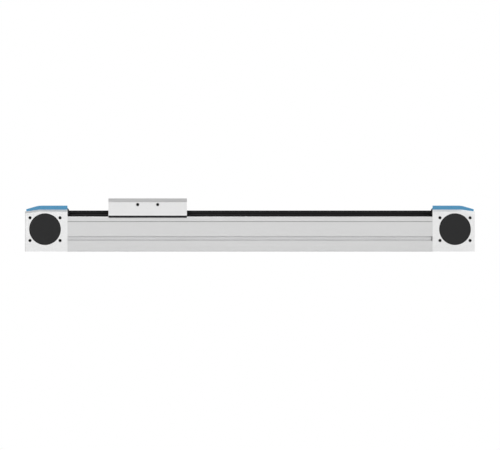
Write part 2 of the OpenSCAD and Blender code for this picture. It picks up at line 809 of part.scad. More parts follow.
module on_slide() {
    translate([slide_x, 0, 0]) children();
}

module block_screw_places() {
    for (x = [-1, 1], dx = [-1, 1], side = [-1, 1])
        translate([x * carriage_x + dx * block_screw[0], side * block_screw[1], 0]) children();
}

module jaw_screw_places() {
    for (x = [-1, 1], side = [-1, 1])
        translate([x * jaw_screw_x, side * jaw_screw_y, 0]) children();
}

module nipple_places() {
    left_and_right() for (side = [-1, 1])
        translate([slide_l / 2, side * nipple_y, nipple_z]) children();
}

module slide_section() {
    half = slide_w / 2;
    polygon([
        [-half, slide_z], [-half, slide_top - slide_chamfer], [-half + slide_chamfer, slide_top],
        [half - slide_chamfer, slide_top], [half, slide_top - slide_chamfer], [half, slide_z],
        [tunnel_half, slide_z], [tunnel_half, block_top], [-tunnel_half, block_top],
        [-tunnel_half, slide_z]
    ]);
}

module slide_plate() color([0.89, 0.89, 0.9]) on_slide() difference() {
    along_x(-slide_l / 2, slide_l) slide_section();
    // screws of the carriages and the clamps
    block_screw_places() screw_well();
    jaw_screw_places() screw_well();
    // threads and centring bores of the top
    for (x = [-1, 1], side = [-1, 1])
        translate([x * top_hole_x / 2, side * top_hole_y / 2, slide_top])
            thread_hole(top_hole_d, top_hole_depth);
    for (x = [-1, 1]) translate([x * top_hole_x / 2, 0, slide_top - centring_depth])
        cylinder(h = centring_depth + 1, d = centring_d);
    // threads of the front side
    for (x = [-1, 1])
        translate([x * side_hole_pitch / 2, -slide_w / 2, slide_top - side_hole_drop])
            rotate([90, 0, 0]) thread_hole(side_hole_d, side_hole_depth);
    // seats of the grease nipples, each with its oil way into the tunnel
    nipple_places() {
        rod_x(-nipple_l - 2, 1, nipple_d + 2 * thread_gap);
        rod_x(-nipple_l - 6, 0, oil_way_d);
    }
    left_and_right() front_and_rear() translate([slide_l / 2 - nipple_l - 5, 0, nipple_z])
        rod_y(tunnel_half - 1, nipple_y, oil_way_d);
    // slots for the arms of the wipers
    left_and_right()
        translate([slide_l / 2 - wiper_recess - wiper_t - 0.1, 0, slide_z - 1])
            translate([0, -wiper_arm_half - 0.1, 0])
                cube([wiper_t + 0.2, 2 * wiper_arm_half + 0.2, wiper_arm_top + 1.1 - slide_z]);
}

module screw_well() {
    translate([0, 0, block_top - 1]) cylinder(h = slide_h, d = small_screw_d + 2 * hole_gap);
    translate([0, 0, head_seat_z]) cylinder(h = slide_h, d = small_head_d + 2 * hole_gap);
}

module ball_carriage() color([0.62, 0.63, 0.65]) on_slide() difference() {
    along_x(carriage_x - block_l / 2, block_l) difference() {
        translate([-carriage_w / 2, profile_h + 0.6]) square([carriage_w, carriage_top - 0.6]);
        translate([-block_inner, profile_h]) square([2 * block_inner, roof_z - profile_h]);
        for (side = [-1, 1]) {
            translate([side * track_y, track_z]) circle(track_r);
            translate([side * (track_y + track_pitch), track_z]) circle(track_r + thread_gap);
        }
    }
    block_screw_places() translate([0, 0, block_top - 5.4])
        cylinder(h = 6, d = small_screw_d + 2 * thread_gap);
    wiper_screw_places() rod_x(-wiper_t - end_cap_t - 6, 0, wiper_screw_d + 2 * thread_gap);
}

module wiper_screw_places() {
    left_and_right() for (side = [-1, 1])
        translate([slide_l / 2 - wiper_recess, side * wiper_screw[0], wiper_screw[1]])
            children();
}

module end_cap_section(gap) {
    difference() {
        translate([-carriage_w / 2 + 0.2, profile_h + 0.7])
            square([carriage_w - 0.4, carriage_top - 0.9]);
        translate([-rail_w / 2 - gap, profile_h]) square([rail_w + 2 * gap, roof_z - profile_h]);
    }
}

// Plastic caps that turn the balls round at both ends of a block
module carriage_end_caps() color([0.13, 0.13, 0.14]) on_slide() difference() {
    for (x = [-1, 1])
        along_x(carriage_x + x * (block_l + end_cap_t) / 2 - end_cap_t / 2, end_cap_t)
            end_cap_section(0.5);
    for (x = [-1, 1], side = [-1, 1])
        translate([carriage_x + x * block_l / 2, side * turn_y, track_z]) difference() {
            cylinder(r = turn_r + track_r + thread_gap, h = 2 * track_r + 0.1, center = true);
            cylinder(r = turn_r - track_r - 2 * thread_gap, h = 2 * track_r + 1, center = true);
        }
    wiper_screw_places() rod_x(-wiper_t - end_cap_t - 6, 0, wiper_screw_d + 2 * thread_gap);
}

// Place of a ball at run s of its loop, seen from above with the loaded row at y = 0
function loop_point(s) = let (turn = PI * turn_r)
    s < block_l ? [s - block_l / 2, 0]
    : s < block_l + turn ? let (a = (s - block_l) / turn_r / arc_unit - 90)
        [block_l / 2 + turn_r * cos(a), turn_r + turn_r * sin(a)]
    : s < 2 * block_l + turn ? [block_l * 1.5 + turn - s, track_pitch]
    : let (a = (s - 2 * block_l - turn) / turn_r / arc_unit + 90)
        [-block_l / 2 + turn_r * cos(a), turn_r + turn_r * sin(a)];

module carriage_balls() color([0.82, 0.83, 0.85]) on_slide() front_and_rear()
    for (i = [0:loop_balls - 1]) {
        p = loop_point((i + 0.5) * loop_l / loop_balls);
        translate([carriage_x + p[0], track_y + p[1], track_z]) sphere(d = ball_d, $fn = 32);
    }

module carriage_screws() color([0.3, 0.3, 0.32]) on_slide()
    block_screw_places() translate([0, 0, head_seat_z])
        socket_screw(small_screw_d, head_seat_z - block_top + 5, small_screw_d);

// Wiper with a lip round the rail and arms out over the profile's edges
module wiper() color([0.12, 0.12, 0.13]) on_slide() difference() {
    along_x(slide_l / 2 - wiper_recess - wiper_t, wiper_t) difference() {
        union() {
            translate([-carriage_w / 2 + 0.2, profile_h + loose_gap])
                square([carriage_w - 0.4, carriage_top - loose_gap - 0.2]);
            translate([-wiper_arm_half, profile_h + loose_gap])
                square([2 * wiper_arm_half, wiper_arm_top - profile_h - loose_gap]);
        }
        translate([-rail_w / 2 - loose_gap, profile_h - 1])
            square([rail_w + 2 * loose_gap, belt_rise + loose_gap + 1]);
    }
    wiper_screw_places() {
        rod_x(-wiper_t - 1, 1, wiper_screw_d + 2 * thread_gap);
        rotate([0, -90, 0]) countersink(0.1);
    }
}

module countersink(grow) {
    translate([0, 0, -grow]) cylinder(h = 1.1 + grow, d1 = 2 * wiper_screw_d + 2 * grow,
        d2 = wiper_screw_d);
}

module wiper_screws() color([0.3, 0.3, 0.32]) on_slide() wiper_screw_places() difference() {
    union() {
        rotate([0, -90, 0]) countersink(0);
        rod_x(-wiper_t - end_cap_t - 5, -0.5, wiper_screw_d);
    }
    rod_x_hex(-0.7, 1, wiper_screw_d * 0.6);
}

module rod_x_hex(x0, x1, d) {
    translate([x0, 0, 0]) rotate([0, 90, 0]) cylinder(h = x1 - x0, d = d, $fn = 6);
}

// ---- Belt clamp of the slide ----

module jaw_section() {
    floor_z = rail_floor + loose_gap + 0.1;
    flange_z = rail_top + loose_gap + 0.1;
    groove_half = belt_w / 2 + 0.2;
    polygon([
        [-jaw_half, floor_z], [jaw_half, floor_z], [jaw_half, flange_z],
        [jaw_flange_half, flange_z], [jaw_flange_half, block_top], [groove_half, block_top],
        [groove_half, jaw_root], [-groove_half, jaw_root], [-groove_half, block_top],
        [-jaw_flange_half, block_top], [-jaw_flange_half, flange_z], [-jaw_half, flange_z]
    ]);
}

// Toothed jaw under the belt; side is -1 or 1
module belt_jaw(side) color([0.7, 0.71, 0.73]) on_slide() difference() {
    start = side > 0 ? jaw_gap : -jaw_gap - jaw_l;
    grid = tooth_grid - slide_x;
    along_x(start, jaw_l) jaw_section();
    for (k = [floor((start - grid) / tooth_step):ceil((start + jaw_l - grid) / tooth_step)])
        translate([grid + k * tooth_step, 0, jaw_root]) across_y(belt_w + 0.4)
            rotate(90) tooth_groove(0);
    jaw_screw_places() translate([0, 0, rail_top])
        cylinder(h = slide_h, d = small_screw_d + 2 * thread_gap);
}

module clamp_plates() color([0.66, 0.67, 0.69]) on_slide() for (side = [-1, 1]) {
    low = belt_top + thread_gap;
    along_x(side > 0 ? jaw_gap : -jaw_gap - jaw_l, jaw_l)
        translate([-belt_w / 2, low]) square([belt_w, block_top - low]);
}

module clamp_screws() color([0.3, 0.3, 0.32]) on_slide()
    jaw_screw_places() translate([0, 0, head_seat_z])
        socket_screw(small_screw_d, head_seat_z - rail_top - 0.8, small_screw_d);

module grease_nipples() color([0.78, 0.66, 0.36]) on_slide() nipple_places() difference() {
    rod_x(-nipple_l - 0.2, -0.2, nipple_d);
    translate([-0.2, 0, 0]) sphere(d = 2.6);
    rod_x(-nipple_l - 1, 0, 1);
}

// ---- Nodes ----

profile();
guide_rail();
rail_screws();
mirror([0, 1, 0]) slot_cover();  // slot_cover_front
slot_cover();  // slot_cover_rear
left_end() drive_housing();  // drive_housing_left
drive_housing();  // drive_housing_right
left_end() top_cover();  // top_cover_left
top_cover();  // top_cover_right
left_end() bearing_cover();  // bearing_cover_left_front
left_end() mirror([0, 1, 0]) bearing_cover();  // bearing_cover_left_rear
bearing_cover();  // bearing_cover_right_front
mirror([0, 1, 0]) bearing_cover();  // bearing_cover_right_rear
left_end() housing_screws();  // housing_screws_left
housing_screws();  // housing_screws_right
left_end() outer_rings();  // outer_rings_left
outer_rings();  // outer_rings_right
left_end() inner_rings();  // inner_rings_left
inner_rings();  // inner_rings_right
left_end() bearing_ball_sets();  // bearing_balls_left
bearing_ball_sets();  // bearing_balls_right
left_end() ball_cages();  // ball_cages_left
ball_cages();  // ball_cages_right
left_end() bore_circlips();  // bore_circlips_left
bore_circlips();  // bore_circlips_right
left_end() shaft_circlips();  // shaft_circlips_left
shaft_circlips();  // shaft_circlips_right
left_end() drive_pulley();  // drive_pulley_left
drive_pulley();  // drive_pulley_right
left_end() pulley_shaft();  // pulley_shaft_left
pulley_shaft();  // pulley_shaft_right
left_end() spacer_sleeves();  // spacer_sleeves_left
spacer_sleeves();  // spacer_sleeves_right
left_end() deflection_roller();  // deflection_roller_left
deflection_roller();  // deflection_roller_right
left_end() roller_bush();  // roller_bush_left
roller_bush();  // roller_bush_right
left_end() roller_axle();  // roller_axle_left
roller_axle();  // roller_axle_right
left_end() end_buffer();  // end_buffer_left
end_buffer();  // end_buffer_right
toothed_belt();
slide_plate();
left_of_slide() ball_carriage();  // ball_carriage_left
ball_carriage();  // ball_carriage_right
left_of_slide() carriage_end_caps();  // carriage_end_caps_left
carriage_end_caps();  // carriage_end_caps_right
left_of_slide() carriage_balls();  // carriage_balls_left
carriage_balls();  // carriage_balls_right
carriage_screws();
left_of_slide() wiper();  // wiper_left
wiper();  // wiper_right
wiper_screws();
belt_jaw(-1);  // belt_jaw_left
belt_jaw(1);  // belt_jaw_right
clamp_plates();
clamp_screws();
grease_nipples();
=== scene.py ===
# Looks of the belt driven linear axis. Lengths are in metres, in the CAD model's own frame:
# X is the travel, Z is up, and the camera looks along +Y.
import json
import math

import bmesh
import bpy
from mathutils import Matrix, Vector


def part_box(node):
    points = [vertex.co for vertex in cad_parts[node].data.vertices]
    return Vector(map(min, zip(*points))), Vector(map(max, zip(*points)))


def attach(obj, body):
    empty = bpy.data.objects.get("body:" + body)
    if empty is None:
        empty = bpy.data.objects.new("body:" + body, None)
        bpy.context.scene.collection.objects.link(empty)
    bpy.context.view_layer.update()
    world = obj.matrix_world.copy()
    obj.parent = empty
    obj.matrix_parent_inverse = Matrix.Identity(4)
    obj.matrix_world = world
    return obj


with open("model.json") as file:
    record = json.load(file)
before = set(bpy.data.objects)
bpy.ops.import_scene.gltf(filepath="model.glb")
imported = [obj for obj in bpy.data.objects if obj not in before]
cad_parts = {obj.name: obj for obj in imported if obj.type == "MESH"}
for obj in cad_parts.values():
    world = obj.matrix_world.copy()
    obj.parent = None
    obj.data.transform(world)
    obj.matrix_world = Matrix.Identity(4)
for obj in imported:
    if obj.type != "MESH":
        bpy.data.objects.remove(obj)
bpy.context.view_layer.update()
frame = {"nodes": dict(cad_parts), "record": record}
nodes = frame["nodes"]
slot_of = {s["node"]: s["material_slot"] for s in frame["record"]["subparts"]}
MM = 0.001


# ---- Node helpers ----


def put(tree, value, socket):
    """Links value to the socket where it is a socket itself, and else sets it there."""
    if isinstance(value, bpy.types.NodeSocket):
        tree.links.new(value, socket)
    else:
        socket.default_value = value


def math_node(tree, operation, a, b):
    node = tree.nodes.new("ShaderNodeMath")
    node.operation = operation
    put(tree, a, node.inputs[0])
    put(tree, b, node.inputs[1])
    return node.outputs[0]


def map_range(tree, value, from_range, to_range):
    """Value carried from one range to the other, and held at its ends."""
    node = tree.nodes.new("ShaderNodeMapRange")
    node.inputs["From Min"].default_value, node.inputs["From Max"].default_value = from_range
    node.inputs["To Min"].default_value, node.inputs["To Max"].default_value = to_range
    tree.links.new(value, node.inputs["Value"])
    return node.outputs["Result"]


def mix_node(tree, value, a, b, blend="MIX"):
    """Colours a and b, mixed by value."""
    node = tree.nodes.new("ShaderNodeMix")
    node.data_type = "RGBA"
    node.blend_type = blend
    for entry, index in ((value, 0), (a, 6), (b, 7)):
        put(tree, entry, node.inputs[index])
    return node.outputs[2]


def rgba(color, level=1.0, lift=0.0):
    return (*[min(c * level + lift, 1) for c in color], 1)


# ---- Material helpers ----

# how far the piece's own walls cast painted shade into a groove, and the openness that counts as
# fully dark
GROOVE_REACH = 5 * MM
OPEN_FROM = 0.45
# how far an edge's wear and painted highlight reach, and how far the smoothed normal leans there:
# the cosine at which they are full, and the one at which they end
EDGE_REACH = 0.4 * MM
EDGE_FULL = 0.86
EDGE_NONE = 0.995
# the part of a noise's range in which most of its values lie
MIDDLE_BAND = (0.3, 0.7)


class Shader:
    """One Principled material and short calls that add and link its nodes."""

    def __init__(self, name, color, metallic=0.0, roughness=0.5, **sockets):
        self.material = bpy.data.materials.new(name)
        self.material.use_nodes = True
        self.tree = self.material.node_tree
        self.bsdf = self.tree.nodes["Principled BSDF"]
        self.color = color
        self.material.diffuse_color = rgba(color)
        self.set("Base Color", rgba(color))
        self.set("Metallic", metallic)
        self.set("Roughness", roughness)
        for socket, value in sockets.items():
            self.set(socket.replace("_", " "), value)
        self.place = self.add("ShaderNodeTexCoord").outputs["Object"]

    def add(self, kind, **inputs):
        node = self.tree.nodes.new(kind)
        for name, value in inputs.items():
            put(self.tree, value, node.inputs[name.replace("_", " ")])
        return node

    def set(self, socket, value):
        put(self.tree, value, self.bsdf.inputs[socket])

    def blend(self, *layers):
        """The sum of layers, each given as a value and its share."""
        total = None
        for value, share in layers:
            part = math_node(self.tree, "MULTIPLY", value, share)
            total = part if total is None else math_node(self.tree, "ADD", total, part)
        return total

    def stretched(self, scale, offset=(0, 0, 0)):
        """Object coordinates, moved by offset and scaled by axis."""
        moved = self.add("ShaderNodeVectorMath", Vector=self.place)
        moved.operation = "SUBTRACT"
        moved.inputs[1].default_value = offset
        scaled = self.add("ShaderNodeVectorMath", Vector=moved.outputs[0])
        scaled.operation = "MULTIPLY"
        scaled.inputs[1].default_value = scale
        return scaled.outputs[0]

    def noise(self, scale, detail=2.0, rough=0.5):
        """Noise with the given cells per metre, in all directions alike or by axis."""
        scale = scale if hasattr(scale, "__len__") else (scale,) * 3
        node = self.add(
            "ShaderNodeTexNoise",
            Vector=self.stretched(scale),
            Scale=1.0,
            Detail=detail,
            Roughness=rough,
        )
        return node.outputs["Fac"]

    def tint(self, value, dark, light):
        """The material's colour, from dark to light times as bright."""
        return mix_node(self.tree, value, rgba(self.color, dark), rgba(self.color, light))

    def vary_roughness(self, value, low, high):
        """Roughness from low to high over the middle of value's range."""
        self.set("Roughness", map_range(self.tree, value, MIDDLE_BAND, (low, high)))

    def bump(self, height, distance, strength):
        """Adds a bump layer on top of those made before."""
        node = self.add("ShaderNodeBump", Height=height, Distance=distance, Strength=strength)
        if self.bsdf.inputs["Normal"].is_linked:
            before = self.bsdf.inputs["Normal"].links[0].from_socket
            self.tree.links.new(before, node.inputs["Normal"])
        self.set("Normal", node.outputs[0])

    def painted_hollow_shade(self, color, floor):
        """The given colour, with painted shade that darkens it to floor times as bright in
        grooves and holes.
        """
        node = self.add("ShaderNodeAmbientOcclusion", Distance=GROOVE_REACH)
        node.only_local = True
        node.samples = 8
        open_air = map_range(self.tree, node.outputs["AO"], (OPEN_FROM, 1.0), (0.0, 1.0))
        level = map_range(self.tree, open_air, (0.0, 1.0), (floor, 1.0))
        return mix_node(self.tree, 1.0, color, level, "MULTIPLY")

    def rub_and_highlight_edges(self, color, rubbed_and_highlit, radius=EDGE_REACH):
        """The given colour, with wear from rubbing and a painted highlight along convex and
        concave edges.
        """
        bevel = self.add("ShaderNodeBevel", Radius=radius)
        bevel.samples = 6
        geometry = self.add("ShaderNodeNewGeometry")
        dot = self.tree.nodes.new("ShaderNodeVectorMath")
        dot.operation = "DOT_PRODUCT"
        put(self.tree, bevel.outputs[0], dot.inputs[0])
        put(self.tree, geometry.outputs["Normal"], dot.inputs[1])
        edge = map_range(self.tree, dot.outputs["Value"], (EDGE_FULL, EDGE_NONE), (1.0, 0.0))
        return mix_node(self.tree, edge, color, rubbed_and_highlit)


# brightness of an aluminium edge against its face, from rubbing and a painted highlight
EDGE_WEAR_AND_HIGHLIGHT = 1.06


def extruded_aluminium(name, color):
    """Anodised extrusion: die lines along X, satin."""
    s = Shader(name, color, metallic=0.72, roughness=0.42, Specular_IOR_Level=0.4)
    lines = s.noise((2, 900, 900), detail=4, rough=0.65)
    wide = s.noise((1.2, 90, 90), detail=2)
    cloud = s.noise(9, detail=3)
    tone = s.blend((lines, 0.45), (wide, 0.35), (cloud, 0.2))
    # painted shade in the grooves and slot edges
    s.set("Base Color", s.painted_hollow_shade(s.tint(tone, 0.93, 1.07), 0.5))
    s.vary_roughness(lines, 0.36, 0.48)
    s.bump(lines, 0.01 * MM, 0.5)
    return s.material


def blasted_aluminium(name, color):
    """Bead blasted and anodised: an even fine grain."""
    s = Shader(name, color, metallic=0.75, roughness=0.46, Specular_IOR_Level=0.4)
    grain = s.noise(3200, detail=3, rough=0.6)
    patch = s.noise(520, detail=3, rough=0.6)
    cloud = s.noise(22, detail=2)
    tone = s.blend((grain, 0.3), (patch, 0.55), (cloud, 0.15))
    # edges lightened by wear and a painted highlight
    worn_and_highlit = s.rub_and_highlight_edges(s.tint(tone, 0.8, 1.17), rgba(color, EDGE_WEAR_AND_HIGHLIGHT))
    # painted shade in the holes and recesses
    s.set("Base Color", s.painted_hollow_shade(worn_and_highlit, 0.04))
    s.vary_roughness(patch, 0.42, 0.5)
    s.bump(patch, 0.02 * MM, 0.35)
    s.bump(grain, 0.012 * MM, 0.5)
    return s.material


def milled_aluminium(name, color):
    """Milled along the travel and anodised: feed marks along X, fine satin grain."""
    s = Shader(name, color, metallic=0.75, roughness=0.4, Specular_IOR_Level=0.4)
    feed = s.noise((4, 620, 620), detail=3, rough=0.6)
    grain = s.noise(2600, detail=2)
    cloud = s.noise(14, detail=2)
    tone = s.blend((feed, 0.45), (grain, 0.3), (cloud, 0.25))
    # edges lightened by wear and a painted highlight
    worn_and_highlit = s.rub_and_highlight_edges(s.tint(tone, 0.92, 1.07), rgba(color, EDGE_WEAR_AND_HIGHLIGHT))
    # painted shade in the holes and recesses
    s.set("Base Color", s.painted_hollow_shade(worn_and_highlit, 0.04))
    s.vary_roughness(feed, 0.35, 0.46)
    s.bump(feed, 0.008 * MM, 0.5)
    s.bump(grain, 0.008 * MM, 0.35)
    return s.material


def coated_steel(name, color):
    """Black coated steel, ground along its length before coating."""
    s = Shader(name, color, roughness=0.45, Specular_IOR_Level=0.22)
    lines = s.noise((3, 1300, 1300), detail=3, rough=0.6)
    patch = s.noise(60, detail=3)
    s.set("Base Color", s.tint(patch, 0.8, 1.25))
    s.vary_roughness(lines, 0.38, 0.52)
    s.bump(lines, 0.008 * MM, 0.5)
    return s.material


def turned_metal(name, color, centre, roughness=0.3):
    """Metal turned about an axis along Y through centre: fine rings."""
    rings_per_metre = 5200
    s = Shader(name, color, metallic=1.0, roughness=roughness)
    flat = s.stretched((1, 0, 1), (centre.x, 0, centre.z))
    radius = s.add("ShaderNodeVectorMath", Vector=flat)
    radius.operation = "LENGTH"
    along = s.add("ShaderNodeSeparateXYZ", Vector=s.place).outputs["Y"]
    across = math_node(s.tree, "MULTIPLY", radius.outputs["Value"], rings_per_metre)
    along = math_node(s.tree, "MULTIPLY", along, rings_per_metre)
    place = s.add("ShaderNodeCombineXYZ", X=across, Y=along).outputs[0]
    rings = s.add("ShaderNodeTexNoise", Vector=place, Scale=1.0, Detail=3.0).outputs["Fac"]
    s.set("Base Color", s.tint(rings, 0.88, 1.1))
    s.vary_roughness(rings, roughness * 0.75, roughness * 1.3)
    s.bump(rings, 0.006 * MM, 0.4)
    return s.material


def plain_metal(name, color, roughness=0.3, metallic=1.0, scale=900):
    """Small metal pieces: faint stains and fine scratches."""
    s = Shader(name, color, metallic=metallic, roughness=roughness)
    stain = s.noise(scale, detail=4, rough=0.6)
    s.set("Base Color", s.tint(stain, 0.82, 1.15))
    s.vary_roughness(stain, roughness * 0.75, roughness * 1.35)
    s.bump(s.noise(scale * 4, detail=2), 0.005 * MM, 0.4)
    return s.material


def moulded_plastic(name, color, roughness=0.45, grain=1800, depth=0.02, edge_wear_and_sheen=1.15):
    """Moulded plastic with an eroded surface; edges lightened by handling and by a painted
    highlight.
    """
    s = Shader(name, color, roughness=roughness, Specular_IOR_Level=0.3)
    pits = s.add("ShaderNodeTexVoronoi", Vector=s.stretched((grain,) * 3), Scale=1.0)
    fine = s.noise(grain * 1.7, detail=2)
    cloud = s.noise(35, detail=3)
    polished_and_highlit = rgba(color, edge_wear_and_sheen, 0.004)
    s.set("Base Color", s.rub_and_highlight_edges(s.tint(cloud, 0.93, 1.07), polished_and_highlit, 0.6 * MM))
    s.vary_roughness(cloud, roughness - 0.05, roughness + 0.07)
    s.bump(pits.outputs["Distance"], depth * MM, 0.5)
    s.bump(fine, depth * 0.5 * MM, 0.4)
    return s.material


def rubber(name, color, roughness=0.62, fabric=False):
    """Black elastomer; the belt also shows its woven face along and across."""
    s = Shader(name, color, roughness=roughness, Specular_IOR_Level=0.22)
    dust = s.noise(90, detail=4, rough=0.6)
    s.set("Base Color", s.tint(dust, 0.8, 1.3))
    s.vary_roughness(dust, roughness - 0.07, roughness + 0.08)
    if fabric:
        for axis in ("X", "Y"):
            weave = s.add("ShaderNodeTexWave", Vector=s.stretched((1400,) * 3), Scale=1.0)
            weave.bands_direction = axis
            s.bump(weave.outputs["Fac"], 0.02 * MM, 0.4)
    s.bump(s.noise(2400, detail=2), 0.015 * MM, 0.5)
    return s.material


def middle(node):
    low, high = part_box(node)
    return (low + high) / 2


# ---- Materials of the CAD nodes ----

BLUE = (0.082, 0.285, 0.485)
BLACK = (0.0088, 0.0088, 0.0093)
BARE_STEEL = (0.55, 0.555, 0.57)
shared = {
    "profile_aluminium": extruded_aluminium("extruded_aluminium", (0.66, 0.66, 0.66)),
    "housing_aluminium": blasted_aluminium("blasted_aluminium", (0.82, 0.82, 0.82)),
    "slide_aluminium": milled_aluminium("milled_aluminium", (0.77, 0.77, 0.77)),
    "slot_strip": moulded_plastic("strip_plastic", (0.63, 0.63, 0.635), 0.4, 900, 0.01),
    "rail_steel": coated_steel("coated_rail", (0.006, 0.006, 0.0064)),
    "black_screws": plain_metal("black_oxide", (0.045, 0.045, 0.05), 0.36, 0.6),
    "bearing_steel": plain_metal("bearing_steel", (0.62, 0.63, 0.65), 0.16, 1.0, 500),
    "spring_steel": plain_metal("spring_steel", (0.12, 0.12, 0.125), 0.38, 0.8),
    "brass": plain_metal("brass", (0.62, 0.44, 0.17), 0.28),
    # a strong painted highlight along the blue cover's edges
    "blue_plastic": moulded_plastic("blue_plastic", BLUE, edge_wear_and_sheen=2.1),
    "black_plastic": moulded_plastic("black_plastic", BLACK, 0.5),
    "buffer_rubber": rubber("buffer_rubber", (0.014, 0.0145, 0.0155)),
    "belt_rubber": rubber("belt_rubber", (0.022, 0.022, 0.023), fabric=True),
}
for name, node in nodes.items():
    slot = slot_of[name]
    if slot == "turned_steel":
        material = turned_metal(name + "_steel", BARE_STEEL, middle(name))
    else:
        material = shared[slot]
    node.data.materials.clear()
    node.data.materials.append(material)
    for face in node.data.polygons:
        face.material_index = 0


def add_piece(name, build, body, slot):
    """Makes a piece of the built mesh that moves with body and wears slot's finish."""
    bmesh.ops.recalc_face_normals(build, faces=build.faces)
    mesh = bpy.data.meshes.new(name)
    build.to_mesh(mesh)
    build.free()
    mesh.materials.append(shared[slot])
    piece = bpy.data.objects.new(name, mesh)
    bpy.context.scene.collection.objects.link(piece)
    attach(piece, body)


# ---- Rounded edges of the CAD nodes ----

# in millimetres, by the start of the node's name
EDGE_RADII = {
    "profile": 0.2,
    "guide_rail": 0.45,
    "drive_housing": 0.45,
    "top_cover": 0.5,
    "bearing_cover": 0.3,
    "end_buffer": 0.4,
    "slide_plate": 0.5,
    "wiper": 0.25,
    "carriage_end_caps": 0.2,
    "ball_carriage": 0.2,
    "clamp_plates": 0.2,
}


def round_edges(node, radius):
    """Joins the mesh's loose corners, clears the flat faces and rounds the sharp edges."""
    weld = node.modifiers.new("weld", "WELD")
    weld.merge_threshold = 0.001 * MM
    flat = node.modifiers.new("flat", "DECIMATE")
    flat.decimate_type = "DISSOLVE"
    flat.angle_limit = math.radians(0.5)
    edge = node.modifiers.new("edge", "BEVEL")
    edge.width = radius
    edge.segments = 3
    edge.limit_method = "ANGLE"
    edge.angle_limit = math.radians(35)
    edge.harden_normals = True


for name, node in nodes.items():
    for start, radius in EDGE_RADII.items():
        if name.startswith(start):
            round_edges(node, radius * MM)


# ---- Threads in the tapped holes, shown as wire inserts in a dark finish that paints the shade inside the holes ----

M4_CORE = 3.3 * MM
M4_PITCH = 0.7 * MM
M5_CORE = 4.2 * MM
M5_PITCH = 0.8 * MM
FLANGE_THREAD_DEPTH = 8.5 * MM
TOP_THREAD_DEPTH = 9.5 * MM
SIDE_THREAD_DEPTH = 5.5 * MM
RIDGE_SINK = 0.02 * MM
RIDGE_HEIGHT = 0.15  # share of the pitch
RIDGE_HALF = 0.4  # share of the pitch
TURN_STEPS = 20


def helix(build, place, inward, core, pitch, depth):
    """A triangular ridge that winds down a hole of diameter core, from one pitch below place."""
    inward = Vector(inward)
    side = Vector((1, 0, 0)) if abs(inward.x) < 0.5 else Vector((0, 0, 1))
    across = inward.cross(side)
    foot = core / 2 + RIDGE_SINK
    half = inward * pitch * RIDGE_HALF
    rows = []
    count = int(depth / pitch * TURN_STEPS)
    for i in range(count + 1):
        turn = i / TURN_STEPS
        angle = 2 * math.pi * turn
        ray = side * math.cos(angle) + across * math.sin(angle)
        axis = Vector(place) + inward * (pitch * (1 + turn))
        taper = min(1, turn, (count - i) / TURN_STEPS)
        crest = core / 2 - RIDGE_HEIGHT * pitch * taper
        rows.append([
            build.verts.new(axis + ray * foot - half),
            build.verts.new(axis + ray * crest),
            build.verts.new(axis + ray * foot + half),
        ])
    for one, two in zip(rows, rows[1:]):
        for a, b in ((0, 1), (1, 2), (2, 0)):
            build.faces.new((one[a], one[b], two[b], two[a]))
    build.faces.new(rows[0])
    build.faces.new(reversed(rows[-1]))


mounts = {mount["name"]: mount for mount in frame["record"]["mounts"]}


def pattern_places(mount):
    """Hole places of a two by two pattern, or of a row of two along X."""
    dims = mount["dims"]
    along = Vector((dims["spacing_x_mm"] * MM, 0, 0))
    up = Vector((0, 1, 0)) if abs(mount["axis"][2]) > 0.5 else Vector((0, 0, 1))
    up *= dims.get("spacing_y_mm", 0) * MM
    rows = (-0.5, 0.5) if "spacing_y_mm" in dims else (0,)
    return [Vector(mount["pos_m"]) + along * i + up * j for i in (-0.5, 0.5) for j in rows]


def thread_set(name, mount_name, body, core, pitch, depth):
    mount = mounts[mount_name]
    build = bmesh.new()
    for place in pattern_places(mount):
        helix(build, place, -Vector(mount["axis"]), core, pitch, depth)
    # the dark spring steel finish is there so the threads read as the shade inside their holes
    add_piece(name, build, body, "spring_steel")


for end in ("left", "right"):
    for face in ("front", "rear"):
        thread_set(
            f"flange_threads_{end}_{face}", f"drive_flange_{end}_{face}",
            "base", M4_CORE, M4_PITCH, FLANGE_THREAD_DEPTH,
        )
thread_set("top_threads", "slide_top_threads", "slide", M5_CORE, M5_PITCH, TOP_THREAD_DEPTH)
thread_set("side_threads", "slide_side_threads", "slide", M4_CORE, M4_PITCH, SIDE_THREAD_DEPTH)


# ---- Dark rubber lips that hang from the slide beside the profile, standing in for the shade under the slide ----

LIP_T = 0.45 * MM
LIP_DROP = 1.45 * MM
LIP_GAP = 0.2 * MM
LIP_INSET = 0.05 * MM
LIP_FLANGE = 1.5 * MM


def prism(build, outline, x0, x1):
    """Closed body between x0 and x1 with the given YZ outline."""
    rings = [[build.verts.new((x, y, z)) for y, z in outline] for x in (x0, x1)]
    count = len(outline)
    for i in range(count):
        j = (i + 1) % count
        build.faces.new((rings[0][i], rings[0][j], rings[1][j], rings[1][i]))
    build.faces.new(rings[0])
    build.faces.new(reversed(rings[1]))


